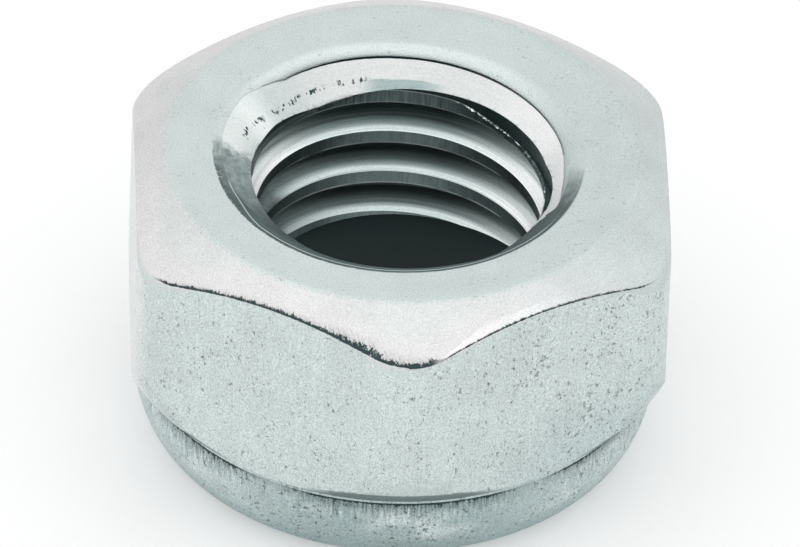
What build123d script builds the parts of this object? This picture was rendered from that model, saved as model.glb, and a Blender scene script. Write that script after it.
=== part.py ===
from build123d import *
import os
from math import cos, radians, tan

# Hex lock nut, M8 x 1.25, standing on its rolled collar with the bearing face up.
# Millimetres. Z is the thread axis, Z = 0 is the end of the collar, and one corner
# of the hexagon points along -Y.

# heights along the axis, from the bearing face down
thread_depth = 4.72        # metal from the bearing face to the seat of the ring
ring_height = 2.40         # locking ring between its seat and the rolled lip
lip_thickness = 0.88       # rolled lip under the ring

# hexagon
across_flats = 12.90       # 13 nominal
corner_radius = 1.75       # rounding of the six upright corners
chamfer_angle = 33.0       # slope of the turned chamfer round the bearing face
chamfer_start_d = 11.56    # where that slope would meet the bearing face if sharp
face_edge_radius = 0.50    # soft edge between bearing face and chamfer

# lower end of the six corners: rounded in, then a short cone down to the collar
corner_run = 1.75          # height of both together
corner_round = 2.30        # radius of the rounded part
corner_draw = 0.37         # how far the rounded part draws the corners in
cone_height = 0.50
lathe_clearance = 0.05     # how far the turned outline passes outside the upright corners

# collar
collar_step = 0.10         # the collar is this much inside the flats
shoulder_ledge = 0.07      # the cone ends this much outside the collar
collar_straight = 0.65     # plain part between hexagon and roll
roll_height = 1.70         # height of the rounded, rolled edge
roll_inset = 1.20          # how far the roll turns inward at its end

# thread hole
minor_d = 6.90             # minor diameter of M8 x 1.25
countersink_d = 8.20       # rim of the countersink
countersink_angle = 90.0
mouth_radius = 0.40        # rounded lip above the countersink

# locking ring and its pocket
ring_d = 10.40             # the pocket has the same size: the ring is a press fit
ring_bore_d = 7.30
ring_corner_radius = 0.80  # outer lower corner of the ring, formed by the roll
lip_bore_d = 8.90

# derived positions
total_height = thread_depth + ring_height + lip_thickness
seat_z = total_height - thread_depth
hex_z = roll_height + collar_straight
flat_r = across_flats / 2
collar_r = flat_r - collar_step
corner_reach = flat_r / cos(radians(30)) - corner_radius * (1 / cos(radians(30)) - 1)
lathe_r = corner_reach + lathe_clearance
chamfer_drop = (lathe_r - chamfer_start_d / 2) * tan(radians(chamfer_angle))
face_r = chamfer_start_d / 2 - face_edge_radius * tan(radians(chamfer_angle / 2))
rim_z = total_height - mouth_radius
sink_depth = (countersink_d - minor_d) / 2 / tan(radians(countersink_angle / 2))

# Nut body: cold-formed hexagon, turned chamfer, thin collar rolled in over the ring.
with BuildPart() as nut_body:
    with BuildSketch(Plane.XY.offset(hex_z)) as hexagon:
        RegularPolygon(flat_r, 6, major_radius=False, rotation=30)
        fillet(hexagon.vertices(), corner_radius)
    extrude(amount=total_height - hex_z)

    # turned outline: chamfer above, run-in of the corners below
    with BuildSketch(Plane.XZ):
        with BuildLine():
            Polyline((0, hex_z), (0, total_height), (face_r, total_height))
            edge = JernArc(
                start=(face_r, total_height),
                tangent=(1, 0),
                radius=face_edge_radius,
                arc_size=-chamfer_angle,
            )
            Polyline(
                edge @ 1,
                (lathe_r, total_height - chamfer_drop),
                (lathe_r, hex_z + corner_run),
            )
            RadiusArc(
                (lathe_r, hex_z + corner_run),
                (lathe_r - corner_draw, hex_z + cone_height),
                corner_round,
            )
            Polyline(
                (lathe_r - corner_draw, hex_z + cone_height),
                (collar_r + shoulder_ledge, hex_z),
                (0, hex_z),
            )
        make_face()
    revolve(axis=Axis.Z, mode=Mode.INTERSECT)

    # collar with its rolled edge
    with BuildSketch(Plane.XZ):
        with BuildLine():
            Polyline(
                (collar_r, roll_height),
                (collar_r, hex_z),
                (0, hex_z),
                (0, 0),
                (collar_r - roll_inset, 0),
            )
            EllipticalCenterArc(
                (collar_r - roll_inset, roll_height),
                roll_inset,
                roll_height,
                start_angle=270,
                arc_size=90,
            )
        make_face()
    revolve(axis=Axis.Z)

    # bore, countersink, rounded mouth, ring pocket and the hole in the rolled lip
    with BuildSketch(Plane.XZ):
        with BuildLine():
            Polyline(
                (countersink_d / 2 + mouth_radius, total_height),
                (0, total_height),
                (0, 0),
                (lip_bore_d / 2, 0),
                (lip_bore_d / 2, lip_thickness),
                (ring_d / 2 - ring_corner_radius, lip_thickness),
            )
            JernArc(
                start=(ring_d / 2 - ring_corner_radius, lip_thickness),
                tangent=(1, 0),
                radius=ring_corner_radius,
                arc_size=90,
            )
            Polyline(
                (ring_d / 2, lip_thickness + ring_corner_radius),
                (ring_d / 2, seat_z),
                (minor_d / 2, seat_z),
                (minor_d / 2, rim_z - sink_depth),
                (countersink_d / 2, rim_z),
            )
            CenterArc(
                (countersink_d / 2 + mouth_radius, rim_z),
                mouth_radius,
                start_angle=90,
                arc_size=90,
            )
        make_face()
    revolve(axis=Axis.Z, mode=Mode.SUBTRACT)
nut_body.part.label = "nut_body"

# Locking ring: polymer, plain bore, pressed in from the collar end and held by the roll.
with BuildPart() as locking_ring:
    with BuildSketch(Plane.XZ):
        with BuildLine():
            Polyline(
                (ring_d / 2 - ring_corner_radius, lip_thickness),
                (ring_bore_d / 2, lip_thickness),
                (ring_bore_d / 2, seat_z),
                (ring_d / 2, seat_z),
                (ring_d / 2, lip_thickness + ring_corner_radius),
            )
            JernArc(
                start=(ring_d / 2 - ring_corner_radius, lip_thickness),
                tangent=(1, 0),
                radius=ring_corner_radius,
                arc_size=90,
            )
        make_face()
    revolve(axis=Axis.Z)
locking_ring.part.label = "locking_ring"

os.makedirs("parts", exist_ok=True)
export_step(nut_body.part, "parts/nut_body.step")
export_step(locking_ring.part, "parts/locking_ring.step")
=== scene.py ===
import math

import bpy
import numpy as np
from mathutils import Matrix, Vector


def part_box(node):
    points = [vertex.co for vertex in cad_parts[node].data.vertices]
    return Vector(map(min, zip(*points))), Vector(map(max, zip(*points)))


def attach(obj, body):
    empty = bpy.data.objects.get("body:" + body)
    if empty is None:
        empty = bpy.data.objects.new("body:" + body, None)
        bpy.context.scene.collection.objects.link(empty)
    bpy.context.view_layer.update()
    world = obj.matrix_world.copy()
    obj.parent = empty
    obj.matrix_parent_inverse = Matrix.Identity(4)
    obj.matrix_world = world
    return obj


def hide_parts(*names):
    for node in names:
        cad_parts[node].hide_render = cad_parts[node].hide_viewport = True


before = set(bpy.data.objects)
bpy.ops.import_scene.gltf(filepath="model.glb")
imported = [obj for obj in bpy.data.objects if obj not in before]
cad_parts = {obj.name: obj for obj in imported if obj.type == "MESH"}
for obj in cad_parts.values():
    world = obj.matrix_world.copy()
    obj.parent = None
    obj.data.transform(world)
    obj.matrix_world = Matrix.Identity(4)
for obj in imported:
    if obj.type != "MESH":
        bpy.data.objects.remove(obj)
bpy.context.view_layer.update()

# Nut body: one steel piece, cold formed to a hexagon with a thin collar, faced and
# chamfered on a lathe, tapped M8 x 1.25 and zinc plated. The collar edge is rolled
# inward over the locking ring. All sizes here are millimetres, then scaled to metres.
MM = 0.001
body_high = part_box("nut_body")[1]
ring_low, ring_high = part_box("locking_ring")
height = body_high[2] / MM
flat_r = body_high[0] / MM
ring_r = ring_high[0] / MM
ring_floor = ring_low[2] / MM
seat_z = ring_high[2] / MM

# hexagon, turned chamfer, and the corners drawn in below
corner_radius = 1.75
chamfer_angle = 33.0
chamfer_start_r = 5.78     # where the chamfer would meet the bearing face if sharp
face_edge_radius = 0.50
crease_bevel = 0.03        # soft edge where the chamfer runs out over the flats
corner_rub = 0.22          # it is this much wider where a corner is rubbed
corner_run = 1.75          # height of the drawn-in part and the short cone under it
corner_round = 2.30
corner_draw = 0.37
cone_height = 0.50
lathe_clearance = 0.05

# collar with its rolled lip
collar_inset = 0.10        # from the flats of the hexagon
shoulder_step = 0.07       # flat underside of the hexagon round the collar
roll_height = 1.70
collar_straight = 0.65     # height of the collar above its roll
collar_r = flat_r - collar_inset
shoulder_r = collar_r + shoulder_step
hex_z = roll_height + collar_straight
roll_inset = 1.20
lip_bore_r = 4.45
neck_depth = 0.02          # shallow groove round its top, under the hexagon
neck_height = 0.10
ring_corner = 0.80

# thread, with its first crest torn up into a burr
minor_r = 3.50
root_r = 4.07
pitch = 1.25
crest_width = 0.36
flank_run = 0.36
first_crest = 0.87         # upper edge of the first crest below the bearing face, at the back
thread_start_angle = 124   # to the left of this the first crest is broken out
crest_edge = 0.03
burr = 0.06                # how far it stands into the bore
burr_sag = 0.17            # the burr hangs this far down on the right

# rounded mouth, a little off centre
mouth_mean_r = 4.50
mouth_shift = 0.16
mouth_shift_angle = -110
lip_least = 0.04           # it is at least this much wider than the countersink
lip_flow = 0.08            # and by this much more where they flow into each other

# countersink: off centre, slightly oval, with a fuller place at the back right
cone_mean_r = 4.373        # where it would meet the face, on average
cone_shift = 0.144
cone_shift_angle = 214
cone_oval = 0.080
cone_oval_angle = -53
cone_swell = 0.10
cone_swell_angle = 42
rim_drop = 0.28            # depth of its sharp rim
rim_swell = 0.4            # the rim lies deeper by this share of the swell
rim_step = 0.045           # small upright step just above the rim at the back
rim_step_least = 0.012     # and all round
cone_slope = 45

# wear: on the left the countersink is flatter, hollow, and flows into the mouth
worn_left_angle = 187
worn_left_flatter = 8      # degrees
hollow_angle = 192
hollow_depth = 0.34        # where the countersink ends in the hollow
worn_right_angle = -20
worn_right = 0.04          # the countersink is this much narrower there
flow_right_angle = -45     # and flows into the mouth here as well
front_angle = -90
land_wear = 0.09           # the plain wall above the thread is this much wider at both sides
land_open = 0.42           # and opens out into the first groove towards the front

columns = 540
degrees = -90 + 360 * np.arange(columns) / columns
angle = np.radians(degrees)
chance = np.random.default_rng(8)

cos30 = math.cos(math.radians(30))
corner_reach = flat_r / cos30 - corner_radius * (1 / cos30 - 1)
lathe_r = corner_reach + lathe_clearance
slope = math.tan(math.radians(chamfer_angle))


def smooth(value, start, stop):
    """0 at start, 1 at stop, smooth between."""
    t = np.clip((value - start) / (stop - start), 0, 1)
    return t * t * (3 - 2 * t)


def around(direction):
    """Degrees between each column and a direction."""
    return np.abs((degrees - direction + 180) % 360 - 180)


def within(direction, reach, fade):
    """1 near a direction, falling to 0 over the last degrees of its reach."""
    return np.clip((reach - around(direction)) / fade, 0, 1)


def uneven_radius(size, direction, waves=1):
    """Off centre towards a direction with one wave round the nut, oval with two."""
    return size * np.cos(waves * np.radians(degrees - direction))


mouth_r = mouth_mean_r + uneven_radius(mouth_shift, mouth_shift_angle)
swell = cone_swell * np.cos(np.radians(np.clip(2 * around(cone_swell_angle), 0, 90)))
cone_r = cone_mean_r + uneven_radius(cone_shift, cone_shift_angle)
cone_r = cone_r + uneven_radius(cone_oval, cone_oval_angle, 2) + swell
cone_r = cone_r - worn_right * within(worn_right_angle, 30, 14)
worn_wall = np.where(degrees > 90, 1, np.clip((30 - degrees) / 40, 0, 1))
land_r = minor_r + land_wear * worn_wall * np.cos(angle) ** 2
land_r = land_r + land_open * within(front_angle, 96, 58)
# depth of the countersink's foot, and its fall for each millimetre inward
hollow = smooth(within(hollow_angle, 36, 28), 0, 1)
fall_angle = cone_slope - worn_left_flatter * within(worn_left_angle, 60, 20)
foot = (cone_r - land_r) * np.tan(np.radians(fall_angle))
foot = foot + (hollow_depth - foot) * hollow
cone_fall = foot / (cone_r - land_r)
# its rim is sharp, but not where it flows into the mouth
flows = np.maximum(within(worn_left_angle, 56, 18), within(flow_right_angle, 30, 14))
mouth_r = np.maximum(mouth_r, cone_r + lip_least + lip_flow * flows)
flowing_depth = (mouth_r - cone_r) * np.sin(np.arctan(cone_fall))
rim_depth = rim_drop + rim_swell * swell
rim_depth = rim_depth + (flowing_depth - rim_depth) * flows
rim_r = cone_r - rim_depth / cone_fall


def hexagon_radius(theta):
    """Distance from the axis to the rounded hexagon, one flat facing +X."""
    off = np.abs((theta + math.pi / 6) % (math.pi / 3) - math.pi / 6)
    flat = flat_r / np.cos(off)
    centre = (flat_r - corner_radius) / cos30
    lean = math.pi / 6 - off
    inside = np.maximum(corner_radius**2 - (centre * np.sin(lean)) ** 2, 0)
    arc = centre * np.cos(lean) + np.sqrt(inside)
    on_flat = flat_r * np.tan(off) <= (flat_r - corner_radius) * math.tan(math.pi / 6)
    return np.where(on_flat, flat, arc)


def thread_radius(phase):
    """Wall radius at a distance below the upper edge of a crest."""
    down = np.clip((phase - crest_width) / flank_run, 0, 1)
    up = np.clip((pitch - phase) / flank_run, 0, 1)
    return minor_r + (root_r - minor_r) * np.minimum(down, up)


def mix(a, b, t):
    """From a to b as t goes from 0 to 1."""
    return a + (b - a) * t


def steps(start, stop, count):
    """Count values from start towards stop, without stop itself."""
    return [mix(start, stop, i / count) for i in range(count)]


def ripple(size, waves):
    """Seeded uneven line round the nut, made of the given numbers of waves."""
    line = np.zeros(columns)
    for n in waves:
        line += np.sin(n * angle + chance.uniform(0, 2 * math.pi)) * chance.uniform(0.5, 1)
    return size * line / math.sqrt(len(waves))


def bore_rows():
    """Radius and height of each helical row, held between the rim and the ring seat."""
    last = height - seat_z
    start = first_crest - 2 * pitch
    phases = np.concatenate([
        steps(0, crest_edge, 2),
        steps(crest_edge, crest_width - crest_edge, 5),
        steps(crest_width - crest_edge, crest_width + crest_edge, 2),
        steps(crest_width + crest_edge, crest_width + flank_run, 5),
        steps(crest_width + flank_run, pitch - flank_run, 3),
        steps(pitch - flank_run, pitch - crest_edge, 8),
        steps(pitch - crest_edge, pitch, 1),
    ])
    turns = int((last + 2 * pitch - start) / pitch) + 1
    # level is the depth on the back wall that a row has, and it drops away from there
    level = np.concatenate([start + n * pitch + phases for n in range(turns)])
    drop = pitch * (90 - degrees) / 360
    # the burr and the rows next to it hang down on the right
    sag = burr_sag * smooth(degrees, 66, 45) * smooth(degrees, -5, 25)
    off_burr = level[:, None] - first_crest
    near_burr = np.clip(1 - np.maximum(off_burr / crest_width, -off_burr / 0.4), 0, 1)
    depth = np.clip(level[:, None] + drop + sag * near_burr, rim_depth, last)
    # one row follows the foot of the countersink
    nearest = np.abs(depth - foot).argmin(axis=0)
    depth[nearest, np.arange(columns)] = foot
    level = np.clip(level[:, None] + drop, rim_depth, last) - drop
    # the first groove grows from nothing over the hidden front of the bore
    turn = np.floor((level - first_crest - crest_width / 2) / pitch)
    grown = smooth(360 * (turn + 1) + 90 - degrees, 100, 170)
    wall = minor_r + (thread_radius((level - start) % pitch) - minor_r) * grown
    above_start = smooth((first_crest - level) / (crest_edge + 1.2 * (land_r - minor_r)), 0, 1)
    crest_foot = first_crest + crest_width
    in_groove = smooth(level, crest_foot - pitch, crest_foot - pitch + 0.05)
    broken_out = smooth(crest_foot + 3 * crest_edge - level, 0, crest_edge)
    broken_out = broken_out * smooth(degrees, thread_start_angle - 2, thread_start_angle + 2)
    plain = np.maximum(above_start, broken_out) * (1 - in_groove * smooth(90 - degrees, 100, 170))
    wall = np.maximum(wall, minor_r + (land_r - minor_r) * plain)
    # torn burr on the upper edge of the first crest
    torn = np.abs(ripple(1.0, range(31, 240, 11)))
    torn = burr * torn * smooth(degrees, -60, -20) * smooth(degrees, 68, 62)
    wall = wall - torn * (np.abs(level - first_crest) < 1e-6)
    # the countersink cuts into all of it
    return np.maximum(wall, cone_r - depth / cone_fall), height - depth, len(phases)


def outer_rows():
    """Rows from the mouth of the bore over the face and down the outside to the ring seat.

    Each row is its radii, its heights and the name of the surface that ends at it."""
    hexagon = hexagon_radius(angle)
    rows = []

    def add(r, z, surface):
        rows.append((r + np.zeros(columns), z + np.zeros(columns), surface))

    # mouth: a small upright step above the rim, then an arc that runs out level on the face
    step = rim_step * smooth(degrees, -30, 60) * smooth(degrees, 140, 100) + rim_step_least
    arc_width = mouth_r - rim_r
    arc_fall = rim_depth - step
    arc_turn = 2 * np.arctan2(arc_fall, arc_width)
    arc_radius = arc_width / np.sin(arc_turn)
    for t in steps(1, 0, 8):
        fall = arc_radius * (1 - np.cos(arc_turn * t))
        add(mouth_r - arc_radius * np.sin(arc_turn * t), height - fall, "mouth")
    lean = math.radians(chamfer_angle)
    face_r = chamfer_start_r - face_edge_radius * math.tan(lean / 2)
    add(mouth_r, height, "mouth")
    for t in steps(0, 1, 4)[1:]:
        add(mix(mouth_r, face_r, t), height, "turned")
    for t in steps(0, lean, 5):
        fall = face_edge_radius * (1 - math.cos(t))
        add(face_r + face_edge_radius * math.sin(t), height - fall, "turned")
    # the corners are rubbed soft where the chamfer runs out, the front one on its left half only
    off_corner = np.abs(degrees % 60 - 30)
    rubbed = smooth(off_corner, 12, 2) * np.where(degrees < front_angle + 30, 0, 1)
    bevel = crease_bevel + corner_rub * rubbed
    crease_r = hexagon - bevel
    chamfer_top_r = face_r + face_edge_radius * math.sin(lean)
    for t in steps(0, 1, 8):
        r = mix(chamfer_top_r, crease_r, t)
        add(r, height - (r - chamfer_start_r) * slope, "turned")
    # the tool leaves a slightly ragged edge where the chamfer runs out over the flats
    ragged = ripple(0.010, range(23, 180, 7))
    crease_z = height - (crease_r - chamfer_start_r) * slope
    flat_top = height - (hexagon - chamfer_start_r) * slope - 1.2 * bevel + ragged
    for t in steps(0, 1, 6):
        across = (1 - t) ** 2 * crease_r + (1 - (1 - t) ** 2) * hexagon
        down = (1 - t * t) * crease_z + t * t * flat_top - t * (1 - t) * 0.6 * bevel
        add(across, down + 0.3 * ragged * t, "turned")
    add(hexagon, flat_top, "turned")

    knee_r = lathe_r - corner_draw
    knee_z = hex_z + cone_height
    centre_r, centre_z = arc_centre((lathe_r, hex_z + corner_run), (knee_r, knee_z), corner_round)
    on_arc = centre_z - np.sqrt(corner_round**2 - np.clip(hexagon - centre_r, 0, None) ** 2)
    on_cone = hex_z + (hexagon - shoulder_r) * cone_height / (knee_r - shoulder_r)
    meet_z = np.where(hexagon > knee_r, on_arc, on_cone)
    for t in steps(0, 1, 10)[1:]:
        add(hexagon, mix(flat_top, meet_z, t), "flats")
    for t in steps(0, 1, 10):
        z = mix(meet_z, hex_z, t)
        arc = centre_r + np.sqrt(np.clip(corner_round**2 - (z - centre_z) ** 2, 0, None))
        cone = shoulder_r + (z - hex_z) * (knee_r - shoulder_r) / cone_height
        add(np.minimum(np.where(z > knee_z, arc, cone), hexagon), z, "flats")
    add(np.minimum(shoulder_r, hexagon), hex_z, "flats")

    add(collar_r - neck_depth, hex_z - neck_height / 10, "collar")
    add(collar_r - neck_depth, hex_z - neck_height / 2, "collar")
    add(collar_r, hex_z - neck_height, "collar")
    for z in steps(hex_z - neck_height, roll_height, 4)[1:]:
        add(collar_r, z, "collar")
    for t in np.radians(steps(0, 90, 16)):
        add(collar_r - roll_inset * (1 - math.cos(t)), roll_height * (1 - math.sin(t)), "collar")
    for r in steps(collar_r - roll_inset, lip_bore_r, 3):
        add(r, 0, "collar")
    for z in steps(0, ring_floor, 3):
        add(lip_bore_r, z, "collar")
    add(lip_bore_r, ring_floor, "collar")
    for t in np.radians(steps(-90, 0, 4)):
        rise = ring_corner * (1 + math.sin(t))
        add(ring_r - ring_corner * (1 - math.cos(t)), ring_floor + rise, "collar")
    add(ring_r, ring_floor + ring_corner, "collar")
    add(ring_r, seat_z, "collar")
    return rows


def arc_centre(a, b, radius):
    """Centre of the convex arc between two points of the r, z plane, on the axis side."""
    chord = np.subtract(b, a)
    length = np.linalg.norm(chord)
    inward = np.array([chord[1], -chord[0]]) / length
    return np.add(a, b) / 2 + inward * math.sqrt(radius**2 - length**2 / 4)


def nut_mesh(name, surfaces):
    """Closed mesh from the helical bore rows and the outer rows, joined at both ends."""
    bore_r, bore_z, shift = bore_rows()
    outer = outer_rows()
    n_bore = len(bore_r)
    r = np.concatenate([bore_r, [row[0] for row in outer]])
    z = np.concatenate([bore_z, [row[1] for row in outer]])
    surface = [surfaces.index("thread")] * n_bore + [surfaces.index(row[2]) for row in outer]
    index = np.arange(r.size).reshape(r.shape)
    # rows past an end of the bore share one vertex with that end
    for j in range(columns):
        top = np.where(bore_z[:, j] >= height - rim_depth[j] - 1e-9)[0]
        bottom = np.where(bore_z[:, j] <= seat_z + 1e-9)[0]
        index[top, j] = index[top[-1], j]
        index[bottom, j] = index[bottom[0], j]
    points = np.stack([r * np.cos(angle), r * np.sin(angle), z], -1).reshape(-1, 3)
    faces = []
    slots = []

    def band(left_a, left_b, right_a, right_b, slot):
        ring = []
        for v in (left_a, left_b, right_b, right_a):
            if v not in ring:
                ring.append(v)
        if len(ring) > 2:
            faces.append(ring)
            slots.append(slot)

    last = len(r) - 1
    for j in range(columns):
        k = (j + 1) % columns
        left = index[:, j].tolist()
        right = index[:, k].tolist()
        # the helix gains one pitch where the last column meets the first
        step = shift if k == 0 else 0
        for i in range(step, n_bore - 1):
            band(left[i], left[i + 1], right[i - step], right[i + 1 - step], surface[i])
        band(left[n_bore], left[0], right[n_bore], right[0], surface[n_bore])
        for i in range(n_bore, last):
            band(left[i + 1], left[i], right[i + 1], right[i], surface[i + 1])
        band(left[n_bore - 1], left[last], right[n_bore - 1], right[last], surface[last])
    used = np.unique(np.concatenate([np.array(f) for f in faces]))
    lookup = np.zeros(len(points), int)
    lookup[used] = np.arange(len(used))
    mesh = bpy.data.meshes.new(name)
    mesh.from_pydata((points[used] * MM).tolist(), [], [lookup[f].tolist() for f in faces])
    mesh.polygons.foreach_set("material_index", slots)
    mesh.validate()
    mesh.update()
    mesh.shade_smooth()
    mesh.set_sharp_from_angle(angle=math.radians(38))
    return mesh


def mark_distance(mesh, name, values):
    """Stores one number per point for the materials, such as the distance from an edge."""
    attribute = mesh.attributes.new(name, "FLOAT", "POINT")
    attribute.data.foreach_set("value", np.asarray(values, dtype=np.float32))


surfaces = ["thread", "mouth", "turned", "flats", "collar"]
body_mesh = nut_mesh("nut_body_metal", surfaces)
place = np.empty(len(body_mesh.vertices) * 3)
body_mesh.vertices.foreach_get("co", place)
x, y, z = place.reshape(-1, 3).T / MM
radius = np.hypot(x, y)
hexagon = hexagon_radius(np.arctan2(y, x))
crease = height - (hexagon - chamfer_start_r) * slope
# height above the crease between chamfer and flats, and above the underside of the hexagon
mark_distance(body_mesh, "above_crease", z - crease)
mark_distance(body_mesh, "above_shoulder", z - hex_z)
edge_lift = cone_height * np.clip((hexagon - shoulder_r) / (lathe_r - corner_draw - shoulder_r), 0, 1)
mark_distance(body_mesh, "above_lower_edge", z - hex_z - edge_lift)
# distance inside the edge of the mouth, and inside the cone of the countersink at face level
about = np.degrees(np.arctan2(y, x))
mark_distance(body_mesh, "inside_mouth", np.interp(about, degrees, mouth_r, period=360) - radius)
to_cone = np.interp(about, degrees, cone_r, period=360) - radius
mark_distance(body_mesh, "inside_cone", to_cone * np.interp(about, degrees, cone_fall, period=360))
nut = bpy.data.objects.new("nut_body_metal", body_mesh)
bpy.context.scene.collection.objects.link(nut)


def join(tree, kind, *sources, **settings):
    """Adds a node, sets its options and feeds its first inputs with sockets or numbers."""
    node = tree.nodes.new(kind)
    for key, value in settings.items():
        setattr(node, key, value)
    for slot, source in zip(node.inputs, sources):
        if isinstance(source, bpy.types.NodeSocket):
            tree.links.new(source, slot)
        elif source is not None:
            slot.default_value = source
    return node


def maths(tree, operation, *sources):
    return join(tree, "ShaderNodeMath", *sources, operation=operation).outputs[0]


def times(tree, first, *others):
    """Product of masks or values."""
    for other in others:
        first = maths(tree, "MULTIPLY", first, other)
    return first


def scaled(tree, value, factor, offset):
    """A value times a factor, plus an offset."""
    return maths(tree, "MULTIPLY_ADD", value, factor, offset)


def larger(tree, first, *others):
    """Largest of several masks."""
    for other in others:
        first = maths(tree, "MAXIMUM", first, other)
    return first


def noise(tree, where, scale, detail=2.0, roughness=0.5):
    """Noise about zero: mostly between -1 and 1."""
    node = join(tree, "ShaderNodeTexNoise", where, None, scale, detail, roughness)
    return scaled(tree, node.outputs["Fac"], 4.0, -2.0)


def ramp(tree, value, start, stop):
    """0 at start, 1 at stop, smooth between, held outside."""
    node = join(tree, "ShaderNodeMapRange", value, start, stop, 0.0, 1.0)
    node.interpolation_type = "SMOOTHSTEP"
    return node.outputs["Result"]


def stretch(tree, where, factors):
    node = join(tree, "ShaderNodeVectorMath", where, factors, operation="MULTIPLY")
    return node.outputs["Vector"]


def start_group(name, inputs, outputs):
    """Opens a shader group with named inputs and outputs."""
    group = bpy.data.node_groups.new(name, "ShaderNodeTree")
    for label, value in inputs.items():
        kind = "NodeSocketVector" if value is None else "NodeSocketFloat"
        socket = group.interface.new_socket(label, in_out="INPUT", socket_type=kind)
        if value is not None:
            socket.default_value = value
    for label in outputs:
        group.interface.new_socket(label, in_out="OUTPUT", socket_type="NodeSocketFloat")
    return group, group.nodes.new("NodeGroupInput").outputs, group.nodes.new("NodeGroupOutput").inputs


def plating_grain():
    """Crystal grain of the zinc in cloudy patches, with clusters of dark and pale flecks."""
    group, given, result = start_group(
        "plating_grain",
        {"Place": None, "Grain": 0.08, "Cloud": 0.03, "Dark": 0.3, "Pale": 0.1, "Share": 0.3,
         "Size": 7.0},
        ["Shade", "Height"],
    )
    fine = noise(group, given["Place"], 24.0, 2.0, 0.6)
    broad = noise(group, given["Place"], 0.9, 3.0, 0.6)
    cluster = scaled(group, noise(group, given["Place"], 1.5, 2.0), 0.22, given["Share"])
    flecks = noise(group, given["Place"], given["Size"], 3.0, 0.72)
    dark = ramp(group, maths(group, "ADD", flecks, cluster), 0.92, 1.16)
    pale = ramp(group, maths(group, "SUBTRACT", cluster, flecks), 0.95, 1.25)
    shade = scaled(group, fine, given["Grain"], 1.0)
    shade = scaled(group, broad, given["Cloud"], shade)
    shade = maths(group, "SUBTRACT", shade, times(group, dark, given["Dark"]))
    shade = scaled(group, pale, given["Pale"], shade)
    group.links.new(shade, result["Shade"])
    relief = scaled(group, dark, -0.9, times(group, pale, 0.6))
    group.links.new(scaled(group, fine, 0.4, relief), result["Height"])
    return group


def drawn_streaks():
    """Fine scores left by a tool, long in one direction, fading in and out."""
    group, given, result = start_group(
        "drawn_streaks", {"Place": None, "Streak": 0.1, "Patchy": 0.5}, ["Shade", "Height"]
    )
    line = noise(group, given["Place"], 1.0, 3.0, 0.6)
    patch = ramp(group, noise(group, given["Place"], 0.35, 1.0), -0.5, 0.7)
    patch = scaled(group, maths(group, "SUBTRACT", patch, 1.0), given["Patchy"], 1.0)
    line = times(group, line, patch)
    group.links.new(scaled(group, line, given["Streak"], 1.0), result["Shade"])
    group.links.new(line, result["Height"])
    return group


def ragged_line():
    """Thin broken line of soil and torn metal along an edge, from the distance to it."""
    group, given, result = start_group(
        "ragged_line",
        {"Distance": 0.0, "Place": None, "Middle": 0.0, "Width": 0.04, "Wander": 0.02, "Gaps": 0.3},
        ["Mask"],
    )
    off = maths(group, "SUBTRACT", given["Distance"], given["Middle"])
    off = scaled(group, noise(group, given["Place"], 5.0, 3.0, 0.6), given["Wander"], off)
    off = maths(group, "DIVIDE", maths(group, "ABSOLUTE", off), given["Width"])
    there = maths(group, "ADD", noise(group, given["Place"], 1.6, 3.0, 0.7), 1.5)
    there = ramp(group, scaled(group, given["Gaps"], -3.0, there), -0.4, 0.4)
    group.links.new(times(group, ramp(group, off, 1.0, 0.3), there), result["Mask"])
    return group


def torn_edge():
    """Ragged dark line along an edge with short strokes of torn metal standing on it."""
    group, given, result = start_group(
        "torn_edge",
        {"Above": 0.0, "Place": None, "Fine Place": None, "Width": 0.03, "Reach": 0.1, "Soft": 0.3,
         "Strength": 1.0},
        ["Mask"],
    )
    strokes = noise(group, given["Place"], 1.0, 4.0, 0.65)
    rag = noise(group, given["Fine Place"], 9.0, 3.0, 0.7)
    high = maths(group, "DIVIDE", given["Above"], given["Reach"])
    fur = scaled(group, high, -1.5, scaled(group, rag, 0.35, strokes))
    fur = times(group, ramp(group, fur, -0.35, 0.35), 0.85)
    thick = scaled(group, rag, 0.7, scaled(group, strokes, 0.7, 1.0))
    thick = times(group, given["Width"], thick)
    line = ramp(group, maths(group, "SUBTRACT", thick, given["Above"]), -0.012, 0.012)
    soft = ramp(group, scaled(group, strokes, -0.3, high), 0.70, 0.0)
    torn = larger(group, times(group, soft, given["Soft"]), fur, line)
    below = ramp(group, scaled(group, rag, 0.012, given["Above"]), -0.016, 0.0)
    gaps = ramp(group, rag, -1.1, -0.5)
    group.links.new(times(group, torn, given["Strength"], below, gaps), result["Mask"])
    return group


grain_group = plating_grain()
streak_group = drawn_streaks()
line_group = ragged_line()
torn_group = torn_edge()


def use_group(tree, group, **values):
    """Places a group and sets its inputs; an underscore in a name stands for a space."""
    node = tree.nodes.new("ShaderNodeGroup")
    node.node_tree = group
    for key, value in values.items():
        slot = node.inputs[key.replace("_", " ")]
        if isinstance(value, bpy.types.NodeSocket):
            tree.links.new(value, slot)
        else:
            slot.default_value = value
    return node.outputs


def streaks(tree, place, strength):
    return use_group(tree, streak_group, Place=place, Streak=strength)


def new_material(name, metallic, roughness):
    """A material with its Principled shader, and its place in millimetres as a socket."""
    material = bpy.data.materials.new(name)
    material.use_nodes = True
    tree = material.node_tree
    shader = tree.nodes["Principled BSDF"]
    shader.inputs["Metallic"].default_value = metallic
    shader.inputs["Roughness"].default_value = roughness
    coord = tree.nodes.new("ShaderNodeTexCoord").outputs["Object"]
    where = stretch(tree, coord, (1 / MM, 1 / MM, 1 / MM))
    return material, tree, shader, where


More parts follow.
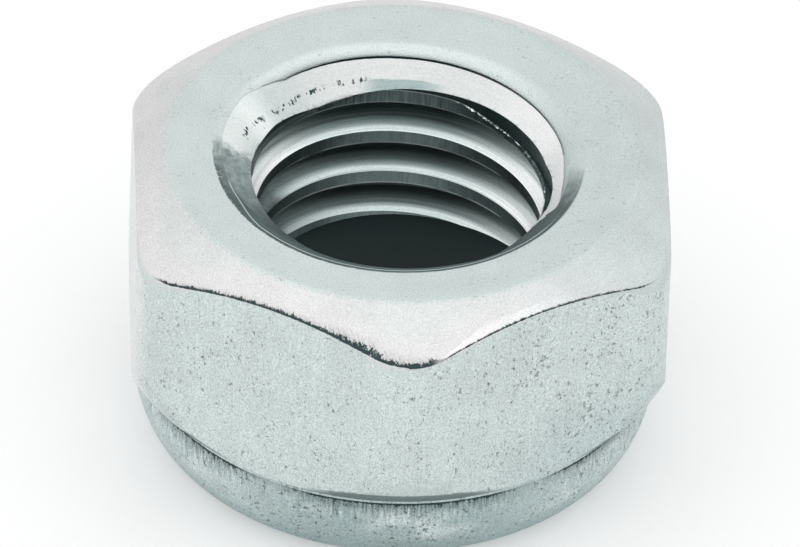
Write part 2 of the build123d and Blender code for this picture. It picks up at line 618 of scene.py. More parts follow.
def mixed(tree, how, factor, *colours):
    """Mixes two colours, each a socket or three numbers."""
    node = join(tree, "ShaderNodeMix", factor, data_type="RGBA", blend_type=how)
    slots = [slot for slot in node.inputs if slot.type == "RGBA"]
    for slot, colour in zip(slots, colours):
        if isinstance(colour, bpy.types.NodeSocket):
            tree.links.new(colour, slot)
        else:
            slot.default_value = (*colour, 1)
    return [slot for slot in node.outputs if slot.type == "RGBA"][0]


def tinted(tree, colour, shade):
    """A colour times a shade."""
    return mixed(tree, "MULTIPLY", 1.0, colour, shade)


def blended(tree, colour_a, colour_b, factor, most=1.0):
    """Colour a where the factor is 0, colour b, or most of it, where the factor is 1."""
    if most < 1:
        factor = times(tree, factor, most)
    return mixed(tree, "MIX", factor, colour_a, colour_b)


def bump(tree, shader, height_value, depth):
    node = tree.nodes.new("ShaderNodeBump")
    node.inputs["Distance"].default_value = depth * MM
    tree.links.new(height_value, node.inputs["Height"])
    tree.links.new(node.outputs["Normal"], shader.inputs["Normal"])


def attribute(tree, name):
    node = tree.nodes.new("ShaderNodeAttribute")
    node.attribute_name = name
    return node.outputs["Fac"]


def radius_of(tree, where):
    flat = stretch(tree, where, (1, 1, 0))
    return join(tree, "ShaderNodeVectorMath", flat, operation="LENGTH").outputs["Value"]


def round_place(tree, where, along, across, up):
    """Coordinates without a seam: direction round the axis, radius and height, each scaled."""
    parts = join(tree, "ShaderNodeSeparateXYZ", where).outputs
    r = radius_of(tree, where)
    cosine = times(tree, maths(tree, "DIVIDE", parts[0], r), along)
    sine = times(tree, maths(tree, "DIVIDE", parts[1], r), along)
    rest = scaled(tree, r, across, times(tree, parts[2], up))
    return join(tree, "ShaderNodeCombineXYZ", cosine, sine, rest).outputs[0]


dirt_and_painted_shade = (0.035, 0.060, 0.062)     # dark dirt that stays in torn edges and scores, also used as painted shadow in creases and under ledges


def bearing(tree, where, centre):
    """Degrees round the axis from a direction, -180 to 180, growing anticlockwise from above."""
    parts = join(tree, "ShaderNodeSeparateXYZ", where).outputs
    c = math.cos(math.radians(centre))
    s = math.sin(math.radians(centre))
    ahead = scaled(tree, parts[0], c, times(tree, parts[1], s))
    aside = scaled(tree, parts[1], c, times(tree, parts[0], -s))
    return times(tree, maths(tree, "ARCTAN2", aside, ahead), 180 / math.pi)


def degrees_off(tree, where, centre):
    """Degrees from a direction round the axis, to either side."""
    return maths(tree, "ABSOLUTE", bearing(tree, where, centre))


def span(tree, value, a, b, c, d):
    """Rises from a to b, holds, and falls from c to d."""
    return times(tree, ramp(tree, value, a, b), ramp(tree, value, d, c))


def sector(tree, where, centre, a, b, c, d):
    """1 over a range of directions, in degrees from its centre: full from b to c."""
    return span(tree, bearing(tree, where, centre), a, b, c, d)


def depth_below_face(tree, where):
    level = join(tree, "ShaderNodeSeparateXYZ", where).outputs[2]
    return maths(tree, "SUBTRACT", height, level)


def wobble(tree, value, where, scale, size):
    """A value pushed about by noise, for uneven borders."""
    return scaled(tree, noise(tree, where, scale, 3.0, 0.65), size, value)


def speckled(tree, colour, where, grain, cloud, dark, pale, share, size):
    """Zinc grain over a colour, with dark and pale flecks; also gives the relief."""
    fine = use_group(
        tree, grain_group, Place=where, Grain=grain, Cloud=cloud, Dark=dark, Pale=pale,
        Share=share, Size=size,
    )
    return tinted(tree, colour, fine["Shade"]), fine["Height"]


def fibre_place(tree, degrees_round, above):
    """Coordinates in which short strokes stand across an edge."""
    across = times(tree, degrees_round, 2.6)
    return join(tree, "ShaderNodeCombineXYZ", across, times(tree, above, 3.0), 0.0).outputs[0]


def crease_soil_and_shadow(tree, where, above):
    """Ragged dark line on the crease, partly dirt and torn metal and partly painted shadow under the
    chamfer's burr, with the torn patch above it at the front corner.
    """
    front = bearing(tree, where, -90)
    leaning = scaled(tree, above, 9.0, front)
    place = fibre_place(tree, leaning, above)
    patch = span(tree, front, -20.0, -5.0, 4.0, 7.5)
    left = span(tree, front, -60.0, -55.0, -8.0, -3.0)
    right = span(tree, front, 3.0, 9.0, 54.0, 60.0)
    brushed = times(tree, span(tree, front, -34.0, -12.0, -2.0, 5.0), 0.10)
    reach = scaled(tree, patch, 0.24, scaled(tree, left, 0.11, 0.03))
    reach = maths(tree, "ADD", reach, brushed)
    width = scaled(tree, left, 0.036, scaled(tree, right, 0.018, 0.004))
    width = scaled(tree, patch, 0.070, width)
    there = larger(tree, patch, left, right)
    return use_group(
        tree, torn_group, Above=above, Place=place, Fine_Place=where, Width=width, Reach=reach,
        Strength=there,
    )


def near_corner(tree, where, far, near):
    """1 within some degrees of a corner of the hexagon, 0 beyond a wider angle."""
    off = maths(tree, "PINGPONG", degrees_off(tree, where, -90), 30.0)
    return ramp(tree, off, far, near)


def turned_zinc():
    """Bearing face and chamfer: lathe turned, then plated; the chamfer is the smoother cut."""
    material, tree, shader, where = new_material("turned_zinc", 1.0, 0.42)
    r = radius_of(tree, where)
    above = attribute(tree, "above_crease")
    cut = ramp(tree, wobble(tree, r, where, 1.5, 0.05), chamfer_start_r - 0.10, chamfer_start_r + 0.10)
    colour = blended(tree, (0.585, 0.650, 0.640), (0.615, 0.640, 0.635), cut)
    low = times(tree, cut, ramp(tree, wobble(tree, above, where, 2.0, 0.05), 0.55, 0.20))
    colour = blended(tree, colour, (0.660, 0.650, 0.655), low)
    # the corners where the chamfer fades out keep the tone of the sides
    corner = ramp(tree, above, 0.10, -0.25)
    colour = blended(tree, colour, (0.60, 0.68, 0.67), corner)
    # painted highlight: a bright band just above the crease on the right, where the chamfer catches
    # the light
    front = bearing(tree, where, -90)
    band = scaled(tree, ramp(tree, front, 6.0, 15.0), 0.10, 0.05)
    band = ramp(tree, wobble(tree, maths(tree, "DIVIDE", above, band), where, 3.0, 0.15), 1.15, 0.75)
    band = times(tree, band, span(tree, front, 6.0, 8.0, 26.0, 44.0))
    colour = blended(tree, colour, (0.77, 0.77, 0.77), band)
    # the right side is a little duller
    aside = sector(tree, where, -10, -75.0, -20.0, 20.0, 75.0)
    colour = blended(tree, colour, (0.535, 0.605, 0.600), aside, 0.7)
    flecked = scaled(tree, ramp(tree, r, chamfer_start_r + 0.2, chamfer_start_r - 0.1), 0.36, 0.05)
    flecked = scaled(tree, aside, 0.10, flecked)
    colour, relief = speckled(tree, colour, where, 0.17, 0.045, 0.24, 0.12, flecked, 9.0)
    rings = streaks(tree, round_place(tree, where, 2.0, 9.0, 0.0), 0.02)
    colour = tinted(tree, colour, rings["Shade"])
    # the crease line is partly painted shadow under the chamfer's burr
    torn = crease_soil_and_shadow(tree, where, above)
    colour = blended(tree, colour, dirt_and_painted_shade, torn["Mask"])
    tree.links.new(colour, shader.inputs["Base Color"])
    relief = scaled(tree, rings["Height"], 0.3, relief)
    bump(tree, shader, scaled(tree, torn["Mask"], -1.5, relief), 0.006)
    return material


def drawn_zinc():
    """Hexagon sides: drawn bar under plating, full of small pits, faintly scored upright."""
    material, tree, shader, where = new_material("drawn_zinc", 1.0, 0.46)
    above = attribute(tree, "above_crease")
    over_collar = attribute(tree, "above_shoulder")
    front = bearing(tree, where, -90)
    pitted = scaled(tree, ramp(tree, front, -10.0, 30.0), 0.12, 0.42)
    # painted shade: the right side darkens towards its lower part, where it reflects the floor's
    # shadow
    lower = times(tree, ramp(tree, front, 0.0, 45.0), ramp(tree, over_collar, 2.9, 0.5))
    colour = blended(tree, (0.625, 0.700, 0.690), (0.55, 0.635, 0.63), lower)
    # painted reflection: the flat on the far left is painted brighter, as it reflects the bright
    # surround
    far_left = ramp(tree, degrees_off(tree, where, 180), 31.0, 27.0)
    colour = blended(tree, colour, (0.72, 0.75, 0.745), far_left)
    place = stretch(tree, where, (1.0, 1.0, 0.8))
    colour, relief = speckled(tree, colour, place, 0.28, 0.060, 0.52, 0.22, pitted, 10.0)
    scores = streaks(tree, stretch(tree, where, (11.0, 11.0, 0.9)), 0.06)
    colour = tinted(tree, colour, scores["Shade"])
    # painted shadow: a dark band along the lower edge at the corners, where the hexagon overhangs the
    # collar
    low_edge = attribute(tree, "above_lower_edge")
    groove = span(tree, wobble(tree, low_edge, where, 6.0, 0.015), -0.60, -0.50, 0.02, 0.09)
    groove = times(tree, groove, near_corner(tree, where, 24.0, 13.0))
    colour = blended(tree, colour, (0.13, 0.18, 0.18), groove, 0.85)
    # the dark line just below the crease is partly painted shadow under the chamfer's burr
    torn = crease_soil_and_shadow(tree, where, times(tree, above, -3.0))
    below = ramp(tree, above, -0.09, -0.02)
    colour = blended(tree, colour, dirt_and_painted_shade, times(tree, torn["Mask"], below))
    tree.links.new(colour, shader.inputs["Base Color"])
    bump(tree, shader, scaled(tree, scores["Height"], 0.4, relief), 0.012)
    return material


def crimped_zinc():
    """Collar: stretched and rolled over by a die, scored upright under the hexagon's corners."""
    material, tree, shader, where = new_material("crimped_zinc", 1.0, 0.46)
    below = attribute(tree, "above_shoulder")
    corner = near_corner(tree, where, 32.0, 16.0)
    front = bearing(tree, where, -90)
    # painted shade: the front middle of the collar is darker, where it faces the floor in the nut's
    # shadow
    middle = ramp(tree, maths(tree, "ABSOLUTE", front), 42.0, 14.0)
    colour = blended(tree, (0.525, 0.61, 0.61), (0.40, 0.49, 0.49), middle)
    # painted light and shade: a patchy paler band where the collar stands upright, darker towards the
    # foot where the roll turns down
    broad = noise(tree, stretch(tree, where, (1.0, 1.0, 1.8)), 0.55, 2.0, 0.5)
    pale = times(tree, ramp(tree, broad, -0.3, 0.7), span(tree, below, -1.5, -1.0, -0.45, -0.2))
    colour = blended(tree, colour, (0.66, 0.73, 0.73), pale)
    foot = ramp(tree, wobble(tree, below, where, 1.0, 0.06), -1.15, -1.9)
    colour = blended(tree, colour, (0.35, 0.45, 0.45), foot, 0.8)
    colour, relief = speckled(tree, colour, where, 0.32, 0.07, 0.62, 0.28, 0.54, 9.0)
    # fringe of short upright scores and torn marks hanging from the shoulder
    scores = streaks(tree, round_place(tree, where, 105.0, 0.0, 2.0), 0.60)
    near = ramp(tree, wobble(tree, below, where, 2.5, 0.15), -1.05, -0.40)
    near = times(tree, near, scaled(tree, corner, 0.85, 0.15))
    colour = blended(tree, colour, tinted(tree, colour, scores["Shade"]), near)
    under = scaled(tree, below, -1.0, -0.13)
    place = fibre_place(tree, front, below)
    fringe = use_group(
        tree, torn_group, Above=under, Place=place, Fine_Place=where,
        Width=0.06, Reach=0.62, Soft=0.45, Strength=scaled(tree, corner, 1.05, 0.12),
    )
    uneven = noise(tree, round_place(tree, where, 9.0, 0.0, 0.0), 1.0, 1.0)
    marks = use_group(
        tree, torn_group, Above=under, Place=place, Fine_Place=where,
        Width=0.0, Reach=0.95, Soft=0.2, Strength=ramp(tree, uneven, -0.2, 0.5),
    )
    # painted shadow: the dark line just under the hexagon's shoulder, strongest under the corners
    # where the hexagon overhangs; the fringe and marks are torn metal
    edge = use_group(
        tree, line_group, Distance=below, Place=where,
        Middle=-0.03, Width=0.045, Wander=0.010, Gaps=0.05,
    )
    line = times(tree, edge["Mask"], scaled(tree, corner, 0.8, 0.15))
    torn_marks_and_shadow_line = larger(tree, line, fringe["Mask"], times(tree, marks["Mask"], 0.6))
    colour = blended(tree, colour, dirt_and_painted_shade, torn_marks_and_shadow_line)
    bright = times(tree, span(tree, below, -0.13, -0.11, -0.085, -0.07), corner)
    colour = blended(tree, colour, (0.60, 0.68, 0.68), bright, 0.5)
    tree.links.new(colour, shader.inputs["Base Color"])
    relief = scaled(tree, times(tree, scores["Height"], near), 0.7, relief)
    bump(tree, shader, relief, 0.012)
    return material


def rim_soil(tree, where):
    """Dark line on the small step just above the rim, strongest at the back."""
    depth = wobble(tree, depth_below_face(tree, where), where, 6.0, 0.004)
    back = bearing(tree, where, 90)
    there = span(tree, back, -108.0, -60.0, 34.0, 46.0)
    wide = times(tree, span(tree, back, -60.0, -5.0, 12.0, 42.0), 0.040)
    start = maths(tree, "SUBTRACT", rim_drop - 0.022, wide)
    full = maths(tree, "ADD", start, 0.008)
    line = span(tree, depth, start, full, rim_drop + 0.004, rim_drop + 0.012)
    return times(tree, there, line)


def rubbed_sides(tree, where):
    """Where bolts have rubbed the mouth: a broad patch on the left and a small one on the right."""
    inside = wobble(tree, attribute(tree, "inside_mouth"), where, 2.6, 0.04)
    inside = wobble(tree, inside, where, 14.0, 0.055)
    left = wobble(tree, bearing(tree, where, 205), where, 3.0, 4.0)
    right = wobble(tree, bearing(tree, where, -22), where, 3.0, 3.0)
    patch = span(tree, inside, -0.04, 0.03, 1.40, 1.60)
    patch = times(tree, patch, span(tree, left, -34.0, -24.0, 40.0, 70.0))
    plain = attribute(tree, "inside_mouth")
    side = times(tree, span(tree, right, -75.0, -50.0, 6.0, 18.0), ramp(tree, plain, 0.0, 0.05))
    inner = scaled(tree, ramp(tree, right, -2.0, -16.0), 0.5, 0.36)
    side = times(tree, side, ramp(tree, maths(tree, "SUBTRACT", plain, inner), 0.08, 0.0))
    return larger(tree, patch, side)


def soiled_low(tree, where):
    """How far the rubbed places are soiled, which grows towards the front of the bore."""
    left = ramp(tree, wobble(tree, bearing(tree, where, 205), where, 2.5, 6.0), -16.0, 14.0)
    right = ramp(tree, wobble(tree, bearing(tree, where, -22), where, 2.5, 6.0), 10.0, -8.0)
    return times(tree, left, right, 0.92)


def dulled(tree, shader, grime):
    """Grime takes the metal's sheen away."""
    tree.links.new(scaled(tree, grime, -0.95, 1.0), shader.inputs["Metallic"])
    shader.inputs["Specular IOR Level"].default_value = 0.1


def rubbed_metal(tree, where, pale, dull):
    """Bare mottled steel of the rubbed places, near black towards the front of the bore."""
    mottled = ramp(tree, noise(tree, where, 6.0, 4.0, 0.8), -0.6, 0.7)
    bare = blended(tree, pale, dull, mottled)
    return blended(tree, bare, (0.060, 0.085, 0.085), soiled_low(tree, where))


def mouth_zinc():
    """Rounded mouth of the bore: plating rubbed through in brushed dark patches at both sides."""
    material, tree, shader, where = new_material("mouth_zinc", 1.0, 0.40)
    aside = sector(tree, where, -10, -75.0, -20.0, 20.0, 75.0)
    colour = blended(tree, (0.595, 0.655, 0.645), (0.535, 0.60, 0.595), aside)
    colour, relief = speckled(tree, colour, where, 0.14, 0.03, 0.30, 0.08, 0.35, 9.0)
    brushed = streaks(tree, round_place(tree, where, 4.0, 34.0, 14.0), 0.55)
    inside = attribute(tree, "inside_mouth")
    rubbed = rubbed_sides(tree, where)
    dark = rubbed_metal(tree, where, (0.29, 0.35, 0.345), (0.17, 0.22, 0.22))
    # with a darker fringe along the outer edge of each
    fringe = sector(tree, where, 197, -16.0, -8.0, 60.0, 75.0)
    fringe = times(tree, fringe, ramp(tree, noise(tree, where, 7.0, 4.0, 0.8), -0.6, 0.5))
    fringe = times(tree, fringe, span(tree, inside, -0.02, 0.02, 0.10, 0.26))
    dark = blended(tree, dark, (0.06, 0.09, 0.09), fringe)
    border = sector(tree, where, -22, -60.0, -45.0, -6.0, 10.0)
    border = times(tree, border, span(tree, inside, 0.01, 0.03, 0.05, 0.09))
    dark = blended(tree, dark, (0.10, 0.14, 0.14), border, 0.8)
    colour = blended(tree, colour, tinted(tree, dark, brushed["Shade"]), times(tree, rubbed, 0.95))
    # the front lip is worn dark, with one bright scratch along it
    front = sector(tree, where, -90, -85.0, -60.0, 48.0, 62.0)
    lip = times(tree, ramp(tree, wobble(tree, inside, where, 4.0, 0.012), 0.0, 0.05), front)
    worn = tinted(tree, (0.085, 0.125, 0.125), brushed["Shade"])
    colour = blended(tree, colour, worn, lip, 0.97)
    drift = scaled(tree, ramp(tree, bearing(tree, where, -145), 5.0, -12.0), 0.13, 0.11)
    off = maths(tree, "SUBTRACT", wobble(tree, inside, where, 1.0, 0.012), drift)
    scratch = ramp(tree, maths(tree, "ABSOLUTE", off), 0.022, 0.008)
    scratch = times(tree, scratch, sector(tree, where, -110, -58.0, -53.0, 62.0, 80.0))
    colour = blended(tree, colour, (0.55, 0.63, 0.62), scratch, 0.85)
    colour = blended(tree, colour, dirt_and_painted_shade, rim_soil(tree, where))
    tree.links.new(colour, shader.inputs["Base Color"])
    grime = larger(tree, times(tree, rubbed, soiled_low(tree, where)), lip)
    grime = times(tree, grime, maths(tree, "SUBTRACT", 1.0, scratch))
    dulled(tree, shader, grime)
    relief = maths(tree, "ADD", times(tree, brushed["Height"], rubbed), relief)
    bump(tree, shader, relief, 0.006)
    return material


def flank_metal(tree, where, helix, scores, back, level, phase):
    """Flanks: painted shade darkens the root and a painted highlight brightens them towards the crest,
    brightest at both sides as a painted reflection of the side light.
    """
    off_back = degrees_off(tree, where, 90)
    away = ramp(tree, off_back, 165.0, 115.0)
    side = times(tree, ramp(tree, back, 25.0, 65.0), ramp(tree, level, 2.6, 2.2))
    side = times(tree, larger(tree, side, ramp(tree, back, -15.0, -70.0)), away)
    aside = ramp(tree, off_back, 14.0, 52.0)
    # painted shade in the roots, painted highlight towards the crest edge, lighter at both sides
    root = blended(tree, (0.125, 0.165, 0.165), (0.42, 0.49, 0.49), aside)
    flank = blended(tree, (0.31, 0.39, 0.39), (0.76, 0.81, 0.805), side)
    bright = blended(tree, (0.64, 0.73, 0.72), (0.92, 0.94, 0.94), side)
    uneven = wobble(tree, phase, helix, 0.3, 0.025)
    colour = blended(tree, root, flank, ramp(tree, uneven, pitch - flank_run + 0.02, pitch - 0.10))
    colour = blended(tree, colour, bright, ramp(tree, uneven, pitch - 0.15, pitch - 0.05))
    colour = tinted(tree, colour, scores["Shade"])
    # all but the first are darker at the left end, and the third groove is darkest
    darker_left_end = ramp(tree, wobble(tree, back, where, 2.0, 6.0), 42.0, 66.0)
    darker_left_end = times(tree, darker_left_end, ramp(tree, level, 2.15, 2.45), away)
    colour = blended(tree, colour, (0.13, 0.175, 0.175), darker_left_end, 0.75)
    third = span(tree, wobble(tree, level, where, 1.5, 0.08), 3.20, 3.45, 3.95, 4.20)
    third = times(tree, third, sector(tree, where, 153, -18.0, -6.0, 12.0, 24.0))
    return blended(tree, colour, (0.06, 0.085, 0.085), third, 0.8)


def with_crests(tree, colour, where, upright, phase):
    """Crests: dark, scored upright, palest in the middle, with a thin bright lower edge."""
    middle = ramp(tree, wobble(tree, degrees_off(tree, where, 90), where, 1.0, 6.0), 36.0, 8.0)
    top = tinted(tree, blended(tree, (0.11, 0.15, 0.15), (0.30, 0.38, 0.38), middle), upright["Shade"])
    colour = blended(tree, colour, top, ramp(tree, phase, crest_width + 0.01, crest_width - 0.01))
    edge = span(tree, phase, crest_width - 0.05, crest_width - 0.02, crest_width, crest_width + 0.03)
    edge = times(tree, edge, ramp(tree, noise(tree, where, 1.2, 2.0), -0.8, 0.2))
    return blended(tree, colour, (0.55, 0.62, 0.61), edge)


def sink_metal(tree, where, depth, back, right, rub):
    """Countersink: turned, painted bright at the left and the right as a reflection of the side light,
    rubbed bare at both sides.
    """
    turned = streaks(tree, round_place(tree, where, 3.0, 34.0, 0.0), 0.10)
    scored = streaks(tree, round_place(tree, where, 2.0, 50.0, 0.0), 0.3)
    paler = ramp(tree, degrees_off(tree, where, 190), 35.0, 80.0)
    colour = blended(tree, (0.56, 0.62, 0.615), (0.59, 0.615, 0.61), paler)
    colour = tinted(tree, colour, turned["Shade"])
    # painted reflection of the side light at the left and the right
    left = sector(tree, where, 165, -26.0, -12.0, 10.0, 20.0)
    colour = blended(tree, colour, (0.76, 0.81, 0.80), left)
    colour = blended(tree, colour, (0.84, 0.85, 0.85), right)
    # painted shade: it is darker along its foot at the back, streaked with scores
    lens = ramp(tree, wobble(tree, depth, where, 2.0, 0.02), 0.635, 0.665)
    lens = times(tree, lens, span(tree, back, -24.0, -8.0, 6.0, 16.0))
    colour = blended(tree, colour, tinted(tree, (0.30, 0.38, 0.38), scored["Shade"]), lens, 0.9)
    bare = rubbed_metal(tree, where, (0.30, 0.36, 0.355), (0.17, 0.22, 0.22))
    colour = blended(tree, colour, tinted(tree, bare, scored["Shade"]), rub)
    # and has a row of small torn marks from the back to the left
    ticks = ramp(tree, noise(tree, round_place(tree, where, 48.0, 9.0, 0.0), 1.0, 2.0), 0.05, 0.40)
    groups = ramp(tree, noise(tree, round_place(tree, where, 11.0, 0.0, 0.0), 1.0, 1.0), -0.7, -0.1)
    lifted = scaled(tree, ramp(tree, back, 40.0, 76.0), 0.26, depth)
    row = span(tree, wobble(tree, lifted, where, 5.0, 0.035), 0.590, 0.620, 0.680, 0.710)
    row = times(tree, row, span(tree, back, 8.0, 14.0, 72.0, 80.0), ticks, groups)
    return blended(tree, colour, dirt_and_painted_shade, row)


def with_plain_wall(tree, colour, scores, upright, back, level, hung):
    """Wall above the thread, and the place where the first crest is broken out."""
    crest_foot = first_crest + crest_width
    groove_top = crest_foot - pitch
    wall = ramp(tree, hung, first_crest - 0.025, first_crest - 0.035)
    groove = ramp(tree, level, groove_top - 0.02, groove_top + 0.03)
    groove = times(tree, groove, ramp(tree, back, -100.0, -165.0))
    wall = times(tree, wall, maths(tree, "SUBTRACT", 1.0, groove))
    left = ramp(tree, back, thread_start_angle - 91, thread_start_angle - 89)
    left = times(tree, left, ramp(tree, level, crest_foot + 0.06, crest_foot))
    stump = blended(tree, colour, tinted(tree, (0.24, 0.30, 0.30), scores["Shade"]), left)
    upper = times(tree, left, ramp(tree, level, first_crest + 0.24, first_crest + 0.17))
    # painted shade: the wall under the countersink's edge and the top of the broken-out crest are
    # painted near black
    dark = blended(tree, stump, (0.075, 0.11, 0.11), larger(tree, wall, upper))
    above = ramp(tree, level, crest_foot + 0.08, crest_foot + 0.06)
    return blended(tree, colour, tinted(tree, dark, upright["Shade"]), above)


def with_burr(tree, colour, where, back, hung):
    """Torn burr on the upper edge of the first crest, on the right, with a painted highlight along it.
    """
    line = wobble(tree, hung, where, 8.0, 0.012)
    line = span(tree, line, first_crest - 0.030, first_crest - 0.018, first_crest, first_crest + 0.010)
    line = times(tree, line, span(tree, back, -72.0, -56.0, -28.0, -20.0))
    line = times(tree, line, ramp(tree, noise(tree, where, 11.0, 3.0, 0.7), -0.30, 0.30))
    return blended(tree, colour, (0.95, 0.98, 0.98), line)


def cut_thread():
    """Tapped thread and countersink: torn, with painted shade in the roots, bright on the cut cone."""
    material, tree, shader, where = new_material("cut_thread", 1.0, 0.36)
    depth = depth_below_face(tree, where)
    back = bearing(tree, where, 90)
    # level is the depth of a place once it is followed along the helix to the back wall,
    # phase its distance below the upper edge of a crest
    level = scaled(tree, back, pitch / 360, depth)
    phase = maths(tree, "FLOORED_MODULO", maths(tree, "SUBTRACT", level, first_crest), pitch)
    along = join(tree, "ShaderNodeSeparateXYZ", round_place(tree, where, 0.6, 0.0, 0.0)).outputs
    fine_level = times(tree, level, 20.0)
    helix = join(tree, "ShaderNodeCombineXYZ", along[0], along[1], fine_level).outputs[0]
    scores = streaks(tree, helix, 0.50)
    upright = streaks(tree, round_place(tree, where, 60.0, 0.0, 1.5), 0.34)
    # hung is the level less the sag of the first crest's burr on the right
    sag = times(tree, span(tree, back, -95.0, -65.0, -45.0, -24.0), burr_sag)
    hung = maths(tree, "SUBTRACT", level, sag)
    colour = flank_metal(tree, where, helix, scores, back, level, phase)
    colour = with_crests(tree, colour, where, upright, phase)
    colour = with_plain_wall(tree, colour, scores, upright, back, level, hung)
    colour = with_burr(tree, colour, where, back, hung)
    off_cone = maths(tree, "SUBTRACT", depth, attribute(tree, "inside_cone"))
    cone = ramp(tree, off_cone, 0.018, 0.006)
    right = ramp(tree, back, -30.0, -70.0)
    rub = times(tree, rubbed_sides(tree, where), 0.97)
    colour = blended(tree, colour, sink_metal(tree, where, depth, back, right, rub), cone)
    # dark edge where the cone meets the thread on the left
    seam = span(tree, off_cone, 0.012, 0.03, 0.08, 0.12)
    seam = times(tree, seam, span(tree, back, 50.0, 60.0, 118.0, 128.0))
    colour = blended(tree, colour, dirt_and_painted_shade, seam, 0.9)
    colour, relief = speckled(tree, colour, where, 0.12, 0.03, 0.30, 0.10, 0.2, 9.0)
    colour = blended(tree, colour, dirt_and_painted_shade, rim_soil(tree, where))
    tree.links.new(colour, shader.inputs["Base Color"])
    dulled(tree, shader, times(tree, cone, rub, soiled_low(tree, where)))
    rough = scaled(tree, times(tree, cone, right), 0.20, 0.36)
    tree.links.new(rough, shader.inputs["Roughness"])
    bump(tree, shader, scaled(tree, scores["Height"], 0.6, relief), 0.0015)
    return material


finishes = {
    "thread": cut_thread, "mouth": mouth_zinc, "turned": turned_zinc,
    "flats": drawn_zinc, "collar": crimped_zinc,
}
for surface in surfaces:
    body_mesh.materials.append(finishes[surface]())
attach(nut, "root")
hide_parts("nut_body")

# Locking ring: a plain dark polymer ring, pressed into the collar from below and
# trapped by the rolled edge. Its bore is smooth until a bolt is driven through.
ring_bore_r = 3.65
edge_break = 0.10
ring_sides = 180
ring_profile = [
    (ring_bore_r, ring_floor + edge_break),
    (ring_bore_r, seat_z - edge_break),
    (ring_bore_r + 0.3 * edge_break, seat_z - 0.3 * edge_break),
    (ring_bore_r + edge_break, seat_z),
    (ring_r, seat_z),
    (ring_r, ring_floor + ring_corner),
]
ring_profile += [
    (ring_r - ring_corner * (1 - math.cos(t)), ring_floor + ring_corner * (1 - math.sin(t)))
    for t in np.radians(np.linspace(15, 90, 6))
]
ring_profile += [
    (ring_bore_r + edge_break, ring_floor),
    (ring_bore_r + 0.3 * edge_break, ring_floor + 0.3 * edge_break),
]
ring_points = [
    (r * math.cos(t) * MM, r * math.sin(t) * MM, z * MM)
    for t in np.linspace(0, 2 * math.pi, ring_sides, endpoint=False)
    for r, z in ring_profile
]
n = len(ring_profile)
ring_faces = []
for j in range(ring_sides):
    k = (j + 1) % ring_sides
    for i in range(n):
        m = (i + 1) % n
        ring_faces.append((j * n + m, k * n + m, k * n + i, j * n + i))
ring_mesh = bpy.data.meshes.new("locking_ring_polymer")
ring_mesh.from_pydata(ring_points, [], ring_faces)
ring_mesh.shade_smooth()
ring_mesh.set_sharp_from_angle(angle=math.radians(50))
ring = bpy.data.objects.new("locking_ring_polymer", ring_mesh)
bpy.context.scene.collection.objects.link(ring)
polymer, tree, shader, where = new_material("ring_polymer", 0.0, 0.5)
colour, relief = speckled(tree, (0.022, 0.048, 0.050), where, 0.04, 0.05, 0.05, 0.05, 0.1, 4.0)
tree.links.new(colour, shader.inputs["Base Color"])
bump(tree, shader, relief, 0.002)
ring_mesh.materials.append(polymer)
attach(ring, "root")
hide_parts("locking_ring")

# Studio: a pale floor that keeps the shadow, a bright surround and a large soft lamp.
# The glow of the floor and surround is for the camera and for what the metal reflects.
floor_half = 1.5
floor_mesh = bpy.data.meshes.new("floor")
corners = [(floor_half * i, floor_half * j, 0) for i, j in ((-1, -1), (1, -1), (1, 1), (-1, 1))]
floor_mesh.from_pydata(corners, [], [(0, 1, 2, 3)])
floor = bpy.data.objects.new("floor", floor_mesh)
bpy.context.scene.collection.objects.link(floor)


def seen_or_reflected(tree, plain, shown):
    """One strength for ordinary light, another for camera and glossy rays."""
    path = tree.nodes.new("ShaderNodeLightPath").outputs
    seen = larger(tree, path["Is Camera Ray"], path["Is Glossy Ray"])
    return scaled(tree, seen, shown - plain, plain)


pale = bpy.data.materials.new("pale_floor")
pale.use_nodes = True
tree = pale.node_tree
tree.nodes.clear()
matt = join(tree, "ShaderNodeBsdfDiffuse", (0.8, 0.8, 0.8, 1))
glow = join(tree, "ShaderNodeEmission", (1, 1, 1, 1), seen_or_reflected(tree, 0.0, 0.30))
both = join(tree, "ShaderNodeAddShader", matt.outputs[0], glow.outputs[0])
join(tree, "ShaderNodeOutputMaterial", both.outputs[0])
floor_mesh.materials.append(pale)

world = bpy.data.worlds.new("surround")
bpy.context.scene.world = world
world.use_nodes = True
tree = world.node_tree
surround = tree.nodes["Background"]
surround.inputs["Color"].default_value = (1, 1, 1, 1)
tree.links.new(seen_or_reflected(tree, 0.70, 1.0), surround.inputs["Strength"])


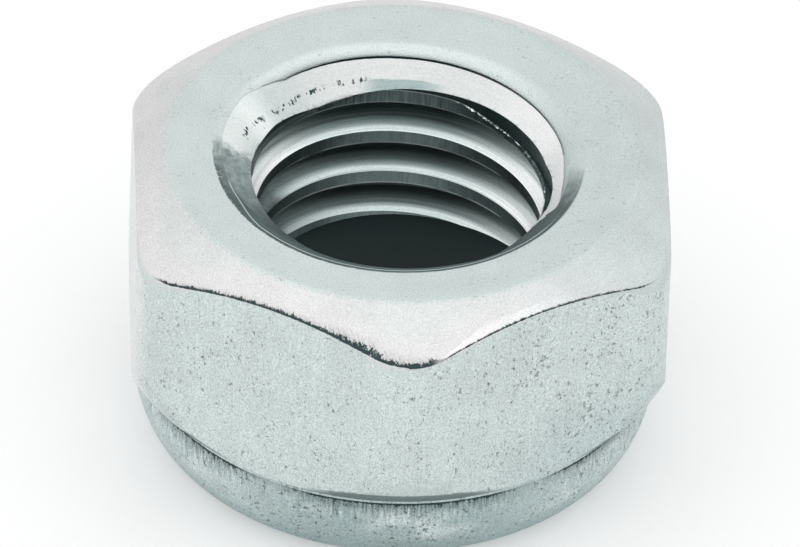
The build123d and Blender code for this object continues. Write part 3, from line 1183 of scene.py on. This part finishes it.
def soft_lamp(name, place, aim, size, power):
    light = bpy.data.lights.new(name, "AREA")
    light.shape = "SQUARE"
    light.size = size
    light.energy = power
    lamp = bpy.data.objects.new(name, light)
    bpy.context.scene.collection.objects.link(lamp)
    lamp.location = place
    lamp.rotation_euler = (Vector(aim) - Vector(place)).to_track_quat("-Z", "Y").to_euler()


soft_lamp("top_softbox", (0.0, -0.10, 0.50), (0, 0, 0), 1.0, 1.1)
soft_lamp("left_softbox", (-0.55, 0.0, 0.20), (0, 0, 0), 0.6, 0.30)
soft_lamp("right_softbox", (0.55, 0.0, 0.20), (0, 0, 0), 0.6, 0.15)

# Camera: a long lens from the front, 38 degrees above the bearing face and turned so
# that one corner of the hexagon points almost straight at it.
view_distance = 0.485
view_elevation = math.radians(38.53)
view_turn = math.radians(3.13)
view_roll = math.radians(2.195)
# size of the picture, its scale, and where the middle of the bearing face lies in it
frame_width = 800
frame_height = 547
pixels_per_mm = 537.44 / 13
centre_x = 401.94
centre_y = 152.54
face_centre = Vector((0, 0, height * MM))
to_camera = Vector((
    -math.cos(view_elevation) * math.sin(view_turn),
    -math.cos(view_elevation) * math.cos(view_turn),
    math.sin(view_elevation),
))
camera_data = bpy.data.cameras.new("camera")
camera = bpy.data.objects.new("camera", camera_data)
bpy.context.scene.collection.objects.link(camera)
bpy.context.scene.camera = camera
focal_pixels = pixels_per_mm * view_distance / MM
camera_data.sensor_width = 36
camera_data.lens = camera_data.sensor_width * focal_pixels / frame_width
camera_data.clip_start = 0.01
turn = to_camera.to_track_quat("Z", "Y").to_matrix()
turn = turn @ Matrix.Rotation(view_roll, 3, "Z")
# aim so that the middle of the bearing face lands on its place in the picture
off_x = (centre_x - frame_width / 2) / focal_pixels
off_y = (frame_height / 2 - centre_y) / focal_pixels
turn = turn @ Matrix.Rotation(math.atan(off_x), 3, "Y") @ Matrix.Rotation(-math.atan(off_y), 3, "X")
camera.matrix_world = Matrix.Translation(face_centre + to_camera * view_distance) @ turn.to_4x4()

bpy.context.scene.view_settings.view_transform = "Standard"
